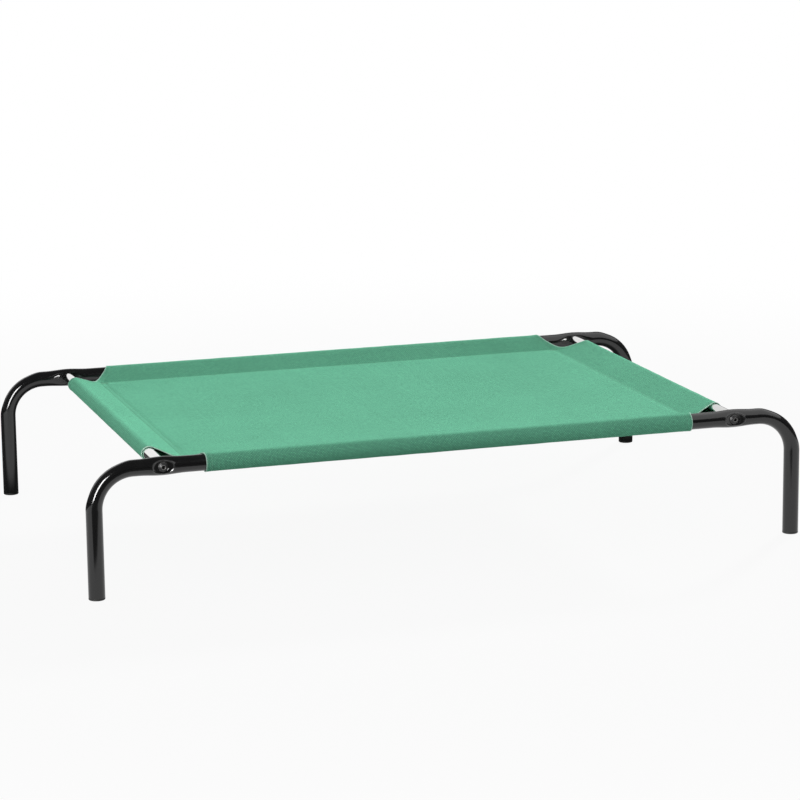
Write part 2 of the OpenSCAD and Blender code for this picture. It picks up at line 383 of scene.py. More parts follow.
def cloth_material(colours, pitch):
    """Matt coated plain weave, with yarns of slightly different shade, slow fading, painted shade
    in the gaps between the yarns and painted light on the weft.
    """
    name = "Woven cloth"
    if name in bpy.data.materials:
        return bpy.data.materials[name]
    material, build, shader, place, _ = new_material(name)
    flat = build.add("ShaderNodeUVMap", uv_map=FLAT_MAP).outputs[0]
    weave = build.group(weave_group(), Flat=flat, Pitch=pitch)
    grain = build.group(grain_group(), Place=place, Grain=900.0, Patch=5.0)
    # Painted shade: the gaps between the yarns turn to the dark gap colour
    yarns = build.blend(weave["Gap"], colours.cloth, colours.cloth_painted_gap_shade)
    shade = build.between(weave["Shade"], low=0.71, high=1.25)
    fading = build.between(grain["Patches"], low=0.965, high=1.035)
    tinted = build.add("ShaderNodeVectorMath", {0: yarns}, operation="SCALE")
    build.put(tinted.inputs["Scale"], build.math("MULTIPLY", shade, fading))
    build.put(shader["Base Color"], tinted.outputs[0])
    build.put(shader["Roughness"], build.between(weave["Gap"], low=0.80, high=0.90))
    shader["Specular IOR Level"].default_value = 0.12
    relief = build.bump(weave["Height"], strength=0.65, distance=0.45 * MM)
    relief = build.bump(grain["Height"], strength=0.15, distance=0.15 * MM, below=relief)
    build.put(shader["Normal"], relief)
    return material


def sealed_edge_highlight_material(colours, pitch):
    """Heat sealed cut edge: the weave's ends, a little glossy, and pale partly as a painted
    highlight along the edge.
    """
    name = "Sealed cloth edge"
    if name in bpy.data.materials:
        return bpy.data.materials[name]
    material, build, shader, place, _ = new_material(name)
    grain = build.group(grain_group(), Place=place, Grain=1400.0, Patch=60.0)
    flat = build.add("ShaderNodeUVMap", uv_map=FLAT_MAP).outputs[0]
    weave = build.group(weave_group(), Flat=flat, Pitch=pitch)
    share = build.math("MULTIPLY", weave["Gap"], 0.5)
    build.put(shader["Base Color"], build.blend(share, colours.cloth_edge_highlight, colours.cloth))
    build.put(shader["Roughness"], build.between(grain["Patches"], low=0.45, high=0.65))
    relief = build.bump(grain["Height"], strength=0.4, distance=0.2 * MM)
    build.put(shader["Normal"], relief)
    return material


def thread_material(colours):
    """Twisted polyester thread."""
    name = "Sewing thread"
    if name in bpy.data.materials:
        return bpy.data.materials[name]
    material, build, shader, place, _ = new_material(name)
    slant = (0.0, 0.0, math.radians(45))
    turned = build.add("ShaderNodeMapping", {"Vector": place, "Rotation": slant}).outputs[0]
    wave = {"Vector": turned, "Scale": 900.0, "Distortion": 1.0}
    twist = build.add("ShaderNodeTexWave", wave).outputs[1]
    grain = build.group(grain_group(), Place=place, Grain=2500.0, Patch=80.0)
    in_twist = build.math("MULTIPLY", twist, 0.3)
    share = build.math("MULTIPLY_ADD", grain["Patches"], 0.35, in_twist)
    build.put(shader["Base Color"], build.blend(share, colours.thread, colours.cloth_painted_gap_shade))
    build.put(shader["Roughness"], build.between(twist, low=0.45, high=0.65))
    build.put(shader["Normal"], build.bump(twist, strength=0.5, distance=0.1 * MM))
    return material


# Hard finishes: colours, where a lip colour is a painted highlight on marked edges, scales, wear,
# roughness from glossy to dull, relief with its depth
HARD_FINISHES = {
    "Black powder coat": {
        "dark": "powder", "worn": "powder_worn", "lip": "powder_painted_highlight",
        "grain": 700.0, "patch": 22.0, "wear": 0.35, "roughness": (0.10, 0.16),
        "relief": (0.10, 0.10 * MM), "specular": 0.6},
    "Bright plating": {
        "dark": "plating", "worn": "plating_dull",
        "grain": 900.0, "patch": 30.0, "wear": 0.5, "roughness": (0.05, 0.11),
        "relief": (0.06, 0.05 * MM), "metallic": 1.0, "stretch": (1.0, 0.06, 1.0)},
    "Turned steel": {
        "dark": "steel", "worn": "plating_dull",
        "grain": 1100.0, "patch": 60.0, "wear": 0.4, "roughness": (0.28, 0.40),
        "relief": (0.15, 0.05 * MM), "metallic": 1.0, "stretch": (0.15, 1.0, 0.15)},
    "Black oxide": {
        "dark": "oxide", "worn": "oxide_rubbed_and_highlight", "lip": "oxide_rubbed_and_highlight",
        "grain": 1600.0, "patch": 180.0, "wear": 0.6, "roughness": (0.34, 0.48),
        "relief": (0.12, 0.05 * MM), "specular": 0.4, "metallic": 0.4},
    # Painted shade for the inside of the sockets
    "Dull oxide": {
        "dark": "oxide_painted_socket_shade", "worn": "oxide",
        "grain": 1600.0, "patch": 180.0, "wear": 0.4, "roughness": (0.60, 0.74),
        "relief": (0.20, 0.05 * MM), "specular": 0.15},
    "Moulded plastic": {
        "dark": "plastic", "worn": "plastic_scuff",
        "grain": 1300.0, "patch": 90.0, "wear": 0.7, "roughness": (0.42, 0.56),
        "relief": (0.22, 0.08 * MM)},
}
RUBBED_DULLNESS = 0.18


def hard_finish(name, colours):
    """A hard finish with grain, slow gloss patches, rubbed specks, and a painted highlight on edges
    that the mesh marks.
    """
    if name in bpy.data.materials:
        return bpy.data.materials[name]
    look = HARD_FINISHES[name]
    dark, worn = (getattr(colours, look[key]) for key in ("dark", "worn"))
    material, build, shader, place, _ = new_material(name)
    if "stretch" in look:
        drawn = {"Vector": place, "Scale": look["stretch"]}
        place = build.add("ShaderNodeMapping", drawn).outputs[0]
    grain = build.group(grain_group(), Place=place, Grain=look["grain"], Patch=look["patch"])
    base = build.blend(build.math("MULTIPLY", grain["Rubbed"], look["wear"]), dark, worn)
    # Painted highlight: marked edges turn to the lip colour
    if "lip" in look:
        lip = build.add("ShaderNodeAttribute", attribute_name=EDGE_HIGHLIGHT_LAYER).outputs["Fac"]
        base = build.blend(lip, base, getattr(colours, look["lip"]))
    build.put(shader["Base Color"], base)
    gloss = build.between(grain["Patches"], *look["roughness"])
    dulled = look["wear"] * RUBBED_DULLNESS
    build.put(shader["Roughness"], build.math("MULTIPLY_ADD", grain["Rubbed"], dulled, gloss))
    shader["Metallic"].default_value = look.get("metallic", 0.0)
    shader["Specular IOR Level"].default_value = look.get("specular", 0.5)
    build.put(shader["Normal"], build.bump(grain["Height"], *look["relief"]))
    return material


# Mesh tools

def edges_of(geometry):
    return [g for g in geometry if isinstance(g, bmesh.types.BMEdge)]


def verts_of(geometry):
    return [g for g in geometry if isinstance(g, bmesh.types.BMVert)]


def extrude_ring(bm, ring, shift=(0, 0, 0), about=None, scale=1.0):
    """Extrudes a ring of edges, scales it about a point and moves it, and returns the new ring."""
    made = bmesh.ops.extrude_edge_only(bm, edges=ring)["geom"]
    verts = verts_of(made)
    if scale != 1.0:
        space = Matrix.Translation(-Vector(about))
        bmesh.ops.scale(bm, vec=(scale,) * 3, space=space, verts=verts)
    bmesh.ops.translate(bm, vec=shift, verts=verts)
    new = set(verts)
    return [e for e in edges_of(made) if e.verts[0] in new and e.verts[1] in new]


def lathe(bm, profile, steps, closed=False):
    """Spins a profile of radius and height about Z."""
    verts = [bm.verts.new((r, 0, h)) for r, h in profile]
    pairs = list(zip(verts, verts[1:])) + ([(verts[-1], verts[0])] if closed else [])
    edges = [bm.edges.new(pair) for pair in pairs]
    bmesh.ops.spin(bm, geom=verts + edges, cent=(0, 0, 0), axis=(0, 0, 1), angle=math.tau,
                   steps=steps, use_merge=True)
    bmesh.ops.remove_doubles(bm, verts=bm.verts, dist=MERGE_GAP)


def arc(centre, radius, start, end, steps):
    """Points on an arc, as radius and height, with angles in degrees."""
    angles = [math.radians(start + (end - start) * k / steps) for k in range(steps + 1)]
    return [(centre[0] + radius * math.cos(a), centre[1] + radius * math.sin(a)) for a in angles]


def new_piece(name, bm, materials, nodes, sharp=35.0):
    """Makes a finished object of a bmesh, which rides on the cot and stands for CAD nodes."""
    bmesh.ops.remove_doubles(bm, verts=bm.verts, dist=MERGE_GAP)
    bmesh.ops.recalc_face_normals(bm, faces=bm.faces)
    mesh = bpy.data.meshes.new(name)
    bm.to_mesh(mesh)
    bm.free()
    mesh.shade_smooth()
    mesh.set_sharp_from_angle(angle=math.radians(sharp))
    for material in materials:
        mesh.materials.append(material)
    piece = bpy.data.objects.new(name, mesh)
    bpy.context.scene.collection.objects.link(piece)
    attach(piece, BODY)
    if nodes:
        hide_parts(*nodes)
    return piece


def fit_corners(piece, node, make, materials, sharp):
    """Makes a piece for each corner: a mesh for the front right one, mirrored to its own."""
    for corner, (side_x, side_y) in CORNERS.items():
        bm = make(corner)
        bmesh.ops.scale(bm, vec=(side_x, -side_y, 1), verts=bm.verts)
        new_piece(f"{piece}_{corner}", bm, materials, [f"{node}_{corner}"], sharp)


def smooth_step(low, high, value):
    """A soft change from 0 at low to 1 at high."""
    t = min(1.0, max(0.0, (value - low) / (high - low)))
    return t * t * (3 - 2 * t)


def soft_min(first, second, width):
    """The lower of two values, with a rounded change over."""
    near = max(width - abs(first - second), 0.0) / width
    return min(first, second) - near * near * width / 4


# Leg tubes

TUBE_SIDES = 128
BEND_STEPS = 30
SEAT_STEPS = 108
# Bend: degrees in which the drawing in starts and ends, and how much wider the tube gets
BEND_EASE = 22
BEND_SPREAD = 0.02
# Rail ends: play, nose and hollow of the spigot, and spare depth of the bores
SPIGOT_PLAY = 0.15 * MM
NOSE_LENGTH, NOSE_TAPER = 1 * MM, 0.6 * MM
SPIGOT_HOLLOW = 20 * MM
SPIGOT_SPARE, PLUG_SPARE = 6 * MM, 3 * MM
# Eye: height over the flat under the bolt's head, rise to its ends, rounding, and lip with the
# focus of its painted highlight
EYE_LIFT = 0.3 * MM
EYE_POWER = 2.2
EYE_ROUNDING = 0.3 * MM
LIP_WIDTH = 0.7 * MM
LIP_ENDS = (1.12, 0.9)
HIGHLIGHT_FOCUS = 3
HEAD_PLAY, HEAD_EDGE = 0.5 * MM, 0.4 * MM
# Bar seat: play beside the bar, reach in radii of the bar, run out, rounding and fade
BAR_PLAY = 0.6 * MM
BAR_REACH = 3.4
BAR_RUN_OUT = 4 * MM
BAR_ROUNDING = 2.0 * MM
BAR_FADE = 8 * MM


def leg_tube_mesh(size, with_spigot):
    """Leg, bend, pressed seat and half a rail for the front right corner."""
    bm = bmesh.new()
    bm.verts.layers.float.new(EDGE_HIGHLIGHT_LAYER)
    tube_r = size.tube_d / 2
    bore_r = tube_r - size.tube_wall
    y = -size.rail_y
    bend_x, bend_z = size.leg_x - size.bend_r, size.rail_z - size.bend_r
    foot = Vector((size.leg_x, y, size.foot_h))
    place = Matrix.Translation(foot)
    bmesh.ops.create_circle(bm, segments=TUBE_SIDES, radius=tube_r, matrix=place)
    foot_ring = bm.edges[:]
    ring = extrude_ring(bm, foot_ring, (0, 0, bend_z - size.foot_h))
    verts = list(dict.fromkeys(v for e in ring for v in e.verts))
    last = bmesh.ops.spin(bm, geom=verts + ring, cent=(bend_x, y, bend_z), axis=(0, 1, 0),
                          angle=-math.pi / 2, steps=BEND_STEPS)["geom_last"]
    ring = edges_of(last)
    # Rings close together along the pressed seat, then one long stretch to the middle
    start = size.bolt_x + size.seat_len / 2
    stops = [start - size.seat_len * k / SEAT_STEPS for k in range(SEAT_STEPS + 1)]
    x = bend_x
    for stop in [s for s in stops if s < bend_x] + [0.0]:
        ring = extrude_ring(bm, ring, (stop - x, 0, 0))
        x = stop
    press_seat(bm, size)
    flatten_bend(bm, size)
    # Rail end: a spigot, or the bore that takes it
    end = Vector((0, y, size.rail_z))
    if with_spigot:
        spigot_r = bore_r - SPIGOT_PLAY
        nose_r = spigot_r - NOSE_TAPER
        tip = end - Vector((size.spigot_len - NOSE_LENGTH, 0, 0))
        ring = extrude_ring(bm, ring, about=end, scale=spigot_r / tube_r)
        ring = extrude_ring(bm, ring, (-size.spigot_len + NOSE_LENGTH, 0, 0))
        ring = extrude_ring(bm, ring, (-NOSE_LENGTH, 0, 0), tip, nose_r / spigot_r)
        tip.x -= NOSE_LENGTH
        ring = extrude_ring(bm, ring, about=tip, scale=(spigot_r - size.tube_wall) / nose_r)
        ring = extrude_ring(bm, ring, (SPIGOT_HOLLOW, 0, 0))
    else:
        ring = extrude_ring(bm, ring, about=end, scale=bore_r / tube_r)
        ring = extrude_ring(bm, ring, (size.spigot_len + SPIGOT_SPARE, 0, 0))
    bmesh.ops.edgeloop_fill(bm, edges=ring)
    # Foot end: the bore that takes the plug
    ring = extrude_ring(bm, foot_ring, about=foot, scale=bore_r / tube_r)
    ring = extrude_ring(bm, ring, (0, 0, size.plug_top - size.foot_h + PLUG_SPARE))
    bmesh.ops.edgeloop_fill(bm, edges=ring)
    return bm


def press_seat(bm, size):
    """Presses the rail flat at the bolt: taller, an eye-shaped dimple outside, a seat inside, and
    marks the dimple's lip for a painted highlight.
    """
    tube_r, bar_r = size.tube_d / 2, size.bar_d / 2
    half, eye = size.seat_len / 2, size.eye_len / 2
    floor = size.seat_floor + EYE_LIFT
    depth = tube_r - floor
    head_r = size.head_d / 2 + HEAD_PLAY
    highlight_layer = bm.verts.layers.float[EDGE_HIGHLIGHT_LAYER]
    for v in bm.verts:
        along = v.co.x - size.bolt_x
        away = abs(along)
        if away > half:
            continue
        out, up = -size.rail_y - v.co.y, v.co.z - size.rail_z
        swell = math.cos(math.pi * along / size.seat_len) ** 2
        up *= 1 + size.seat_rise / tube_r * swell
        if out > 0:
            scoop = floor + depth * (away / eye) ** EYE_POWER
            lip = math.exp(-((out - scoop) / LIP_WIDTH) ** 2)
            lip *= smooth_step(LIP_ENDS[0] * eye, LIP_ENDS[1] * eye, away)
            # Marks the lip, which the coat paints as a highlight
            v[highlight_layer] = lip ** HIGHLIGHT_FOCUS
            out = soft_min(out, scoop, EYE_ROUNDING) + size.eye_lip * lip
            spot = smooth_step(head_r + HEAD_EDGE, head_r, math.hypot(along, up))
            out = min(out, out + (size.seat_floor - out) * spot)
        else:
            run_out = smooth_step(bar_r + BAR_PLAY, BAR_REACH * bar_r, away)
            pressed = soft_min(-out, size.seat_floor + BAR_RUN_OUT * run_out, BAR_ROUNDING)
            out -= (pressed + out) * smooth_step(half, half - BAR_FADE, away)
        v.co.y, v.co.z = -size.rail_y - out, size.rail_z + up


def flatten_bend(bm, size):
    """Draws in the outside of the bend a little, as a tube bender does."""
    tube_r = size.tube_d / 2
    centre = Vector((size.leg_x - size.bend_r, size.rail_z - size.bend_r))
    for v in bm.verts:
        ray = Vector((v.co.x, v.co.z)) - centre
        if ray.x < 0 or ray.y < 0:
            continue
        turn = math.degrees(math.atan2(ray.y, ray.x))
        share = smooth_step(0, BEND_EASE, turn) * smooth_step(90, 90 - BEND_EASE, turn)
        over = ray.length - size.bend_r
        if over > 0:
            drawn = over - size.bend_flat * share * (over / tube_r) ** 2
            ray = ray.normalized() * (size.bend_r + drawn)
            v.co.x, v.co.z = centre.x + ray.x, centre.y + ray.y
        y = v.co.y + size.rail_y
        v.co.y = -size.rail_y + y * (1 + BEND_SPREAD * share)


class COT_OT_leg_tubes(bpy.types.Operator):
    """Builds the four bent leg tubes with their pressed bolt seats"""

    bl_idname = "dog_cot.leg_tubes"
    bl_label = "Leg Tubes"

    def execute(self, context):
        size, _, colours, _ = settings(context)
        fit_corners(
            "leg_tube", "leg_rail", lambda corner: leg_tube_mesh(size, corner in SPIGOT_CORNERS),
            [hard_finish("Black powder coat", colours)], sharp=50.0)
        return {"FINISHED"}


# End bars and nuts

BAR_SIDES = 72
BAR_CHAMFER = 0.35 * MM


class COT_OT_end_bars(bpy.types.Operator):
    """Builds the two plated end bars, and finishes the nuts inside them"""

    bl_idname = "dog_cot.end_bars"
    bl_label = "End Bars"

    def execute(self, context):
        size, _, colours, _ = settings(context)
        outer, half, edge = size.bar_d / 2, size.bar_half, BAR_CHAMFER
        inner = outer - size.bar_wall
        profile = [(inner, half - edge), (inner + edge, half), (outer - edge, half),
                   (outer, half - edge)]
        profile += [(r, -h) for r, h in reversed(profile)]
        lying = Matrix.Rotation(math.pi / 2, 4, "X")
        for end, sign in ENDS.items():
            bm = bmesh.new()
            lathe(bm, profile, BAR_SIDES, closed=True)
            place = Matrix.Translation((sign * size.bolt_x, 0, size.rail_z)) @ lying
            bmesh.ops.transform(bm, matrix=place, verts=bm.verts)
            new_piece(f"cross_bar_{end}", bm, [hard_finish("Bright plating", colours)],
                      [f"end_bar_{end}"])
        for corner in CORNERS:
            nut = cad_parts[f"bar_nut_{corner}"]
            nut.data.materials.clear()
            nut.data.materials.append(hard_finish("Turned steel", colours))
        return {"FINISHED"}


# Bolts

BOLT_SIDES = 48
DOME_STEPS = 8
HEAD_RIM = 1.1 * MM
HEAD_CHAMFER = 0.4 * MM
TIP_CHAMFER = 1 * MM
# Socket: width and depth of its chamfer, and depth and share of the pointed floor
SOCKET_CHAMFER, CHAMFER_DEPTH = 0.25 * MM, 0.2 * MM
POINT_DEPTH, POINT_SHARE = 0.5 * MM, 0.35
# Rubbed edges, also a painted highlight on the head's rim and the socket's mouth: height over the
# head's seat, width, and how far they are rubbed
RUBBED_LIT_ABOVE, RUBBED_LIT_WIDTH, RUBBED_LIT_SHARE = 0.3 * MM, 0.05 * MM, 0.8
# Degrees to which the bolts were turned: the first one, and the change to the next
FIRST_TURN, NEXT_TURN = 13, 34


def bolt_mesh(size):
    """Socket button head bolt, with its head upwards and the head's seat at the origin."""
    bm = bmesh.new()
    bm.verts.layers.float.new(EDGE_HIGHLIGHT_LAYER)
    head_r, shank_r, flat_r = size.head_d / 2, size.bolt_d / 2, size.socket_af / 2
    tip, rise = size.head_h - size.bolt_len, size.head_h - HEAD_RIM
    dome_r = (head_r ** 2 + rise ** 2) / (2 * rise)
    socket_r = flat_r / math.cos(math.pi / 6) + SOCKET_CHAMFER
    first, last = (math.degrees(math.acos(r / dome_r)) for r in (socket_r, head_r))
    profile = arc((0, size.head_h - dome_r), dome_r, first, last, DOME_STEPS)
    profile += [(head_r, HEAD_CHAMFER), (head_r - HEAD_CHAMFER, 0), (shank_r, 0)]
    profile += [(shank_r, tip + TIP_CHAMFER), (shank_r - TIP_CHAMFER, tip), (0, tip)]
    lathe(bm, profile, BOLT_SIDES)
    ring = [e for e in bm.edges if e.is_boundary]
    rub_and_highlight_layer = bm.verts.layers.float[EDGE_HIGHLIGHT_LAYER]
    # Rubbed edges, partly a painted highlight, on the rim of the head and the mouth of the socket
    for v in bm.verts:
        radius = v.co.xy.length
        on_edge = radius > head_r - RUBBED_LIT_WIDTH or radius < socket_r + RUBBED_LIT_WIDTH
        if v.co.z > RUBBED_LIT_ABOVE and on_edge:
            v[rub_and_highlight_layer] = RUBBED_LIT_SHARE
    # Chamfered mouth, then the six flats and the floor of the socket
    ring = extrude_ring(bm, ring, (0, 0, -CHAMFER_DEPTH))
    outside = set(bm.faces)
    for v in {v for e in ring for v in e.verts}:
        turn = math.atan2(v.co.y, v.co.x) % (math.pi / 3) - math.pi / 6
        v.co.xy = v.co.xy.normalized() * (flat_r / math.cos(turn))
    ring = extrude_ring(bm, ring, (0, 0, -size.socket_depth))
    ring = extrude_ring(bm, ring, (0, 0, -POINT_DEPTH), (0, 0, 0), POINT_SHARE)
    bmesh.ops.edgeloop_fill(bm, edges=ring)
    # The socket's faces take the near black finish, which paints shade into the recess
    for face in set(bm.faces) - outside:
        face.material_index = 1
    return bm


def set_bolt(size, corner):
    """A bolt in the front right seat, turned as the one in a corner was left."""
    bm = bolt_mesh(size)
    turn = math.radians(FIRST_TURN + NEXT_TURN * list(CORNERS).index(corner))
    seat = Matrix.Translation((size.bolt_x, -size.rail_y - size.seat_floor, size.rail_z))
    place = seat @ Matrix.Rotation(math.pi / 2, 4, "X") @ Matrix.Rotation(turn, 4, "Z")
    bmesh.ops.transform(bm, matrix=place, verts=bm.verts)
    return bm


class COT_OT_bolts(bpy.types.Operator):
    """Builds the four socket button head bolts"""

    bl_idname = "dog_cot.bolts"
    bl_label = "Bolts"

    def execute(self, context):
        size, _, colours, _ = settings(context)
        finishes = [hard_finish(name, colours) for name in ("Black oxide", "Dull oxide")]
        fit_corners("button_bolt", "bolt", lambda corner: set_bolt(size, corner), finishes,
                    sharp=28.0)
        return {"FINISHED"}


# Feet

FOOT_SIDES = 64
FOOT_STEPS = 6
FOOT_ROUNDING = 1.2 * MM
FOOT_CHAMFER = 0.3 * MM
PLUG_PLAY = 0.15 * MM
PLUG_WALL = 2 * MM
PLUG_FLOOR = 1 * MM
# Ring recess in the underside, as radius and height in millimetres
FOOT_RECESS = ((0, 0.5), (2.2, 0.5), (2.6, 1.0), (6.6, 1.0), (7.2, 0))


def foot_mesh(size):
    """Moulded plug with a rounded foot and a ring recess, for the front right corner."""
    bm = bmesh.new()
    tube_r, foot_h, top = size.tube_d / 2, size.foot_h, size.plug_top
    plug_r = tube_r - size.tube_wall - PLUG_PLAY
    hollow_r = plug_r - PLUG_WALL
    round_at = (tube_r - FOOT_ROUNDING, FOOT_ROUNDING)
    profile = [(r * MM, h * MM) for r, h in FOOT_RECESS]
    profile += arc(round_at, FOOT_ROUNDING, -90, 0, FOOT_STEPS)
    profile += [(tube_r, foot_h - FOOT_CHAMFER), (tube_r - FOOT_CHAMFER, foot_h)]
    profile += [(plug_r, foot_h), (plug_r, top - NOSE_LENGTH), (plug_r - NOSE_TAPER, top)]
    profile += [(hollow_r, top), (hollow_r, foot_h + PLUG_FLOOR), (0, foot_h + PLUG_FLOOR)]
    lathe(bm, profile, FOOT_SIDES)
    bmesh.ops.translate(bm, vec=(size.leg_x, -size.rail_y, 0), verts=bm.verts)
    return bm


class COT_OT_feet(bpy.types.Operator):
    """Builds the four moulded foot plugs"""

    bl_idname = "dog_cot.feet"
    bl_label = "Feet"

    def execute(self, context):
        size, _, colours, _ = settings(context)
        fit_corners("foot_cap", "foot_plug", lambda corner: foot_mesh(size),
                    [hard_finish("Moulded plastic", colours)], sharp=40.0)
        return {"FINISHED"}


# Cover

ARC_STEPS = 26
SLOPE_STEPS = 6
HEM_STEPS = 3
ROUND_STEPS = 6
CREASE_ROW = 1.2 * MM
SEAM_ROWS = (0.5 * MM, 7.0 * MM)
NOTCH_ROWS = (3.2 * MM, 8.5 * MM)
# How far the stitches of the side seams and of the end seams run past the deck's corner
SEAM_PAST = (1 * MM, 6 * MM)
# Drop of the hem under the deck, in thicknesses of the cloth
HEM_LAYER = 1.12
# Grooves: step of the points along the stitches, reach beside a notch, and depth on the sleeves
POINT_STEP = 0.4 * MM
GROOVE_REACH = 0.04
SLEEVE_GROOVE = 0.6
# Folds at the deck's corners: count, phase and its changes, reach, and where they start
FAN_FOLDS, FAN_PHASE, FAN_CHANGE = 9, 0.6, 1.3
FAN_RIGHT, FAN_REAR = 0.4, 0.9
FAN_REACH = 0.07
FAN_START = (0.004, 0.03)
# Slow unevenness of the deck, and where it is flat again beside the seams
SLOW_SCALE, SLOW_SEED, SLOW_SHARE = 9, 0.7, 0.5
FLAT_ENDS, FLAT_SIDES = (1.0, 0.97), (1.0, 0.96)
# Sleeves: opening of the mouths, and ripples with their seeds on each side
MOUTH_OPEN, MOUTH_FADE = 0.5 * MM, 0.006
RIPPLE, RIPPLE_ALONG, RIPPLE_ACROSS, RIPPLE_FROM = 0.25 * MM, 38, 20, 0.02
END_SEEDS, SIDE_SEEDS = (1.9, 5.3), (3.1, 7.7)
# Where a crease grows soft, past the end of its seam
SOFT_FROM, SOFT_TO = -12 * MM, 8 * MM
NORMAL_STEP = 0.2 * MM


class SleevePath:
    """Section of a sleeve from its seam over the tube and back under, by length of cloth."""

    def __init__(self, radius, seam, drop, thickness, hem):
        reach = math.hypot(seam, drop)
        lean, spread = math.atan2(-drop, seam), math.acos(radius / reach)
        self.radius, self.start, self.turn = radius, lean + spread, math.tau - 2 * spread
        self.top = self.on_arc(0.0)
        self.bottom = self.on_arc(self.turn)
        self.seam = Vector((seam, -drop))
        self.under = self.seam - Vector((0, HEM_LAYER * thickness))
        self.lengths = [(self.top - self.seam).length, radius * self.turn,
                        (self.under - self.bottom).length, hem]
        self.length = sum(self.lengths)

    def on_arc(self, turn):
        return self.radius * Vector((math.cos(self.start + turn), math.sin(self.start + turn)))

    def at(self, run):
        """Distance inwards from the tube's axis and height above it, for a length of cloth."""
        slope, wrap, back, _ = self.lengths
        if run <= slope:
            return self.seam.lerp(self.top, run / slope)
        if run <= slope + wrap:
            return self.on_arc((run - slope) / self.radius)
        if run <= slope + wrap + back:
            return self.bottom.lerp(self.under, (run - slope - wrap) / back)
        return self.under + Vector((run - slope - wrap - back, 0))

    def stops(self):
        """Lengths at which the cloth gets a row of faces."""
        rows, done = [CREASE_ROW], 0.0
        for part, steps in zip(self.lengths, (SLOPE_STEPS, ARC_STEPS, SLOPE_STEPS, HEM_STEPS)):
            rows += [done + part * (k + 1) / steps for k in range(steps)]
            done += part
        return rows


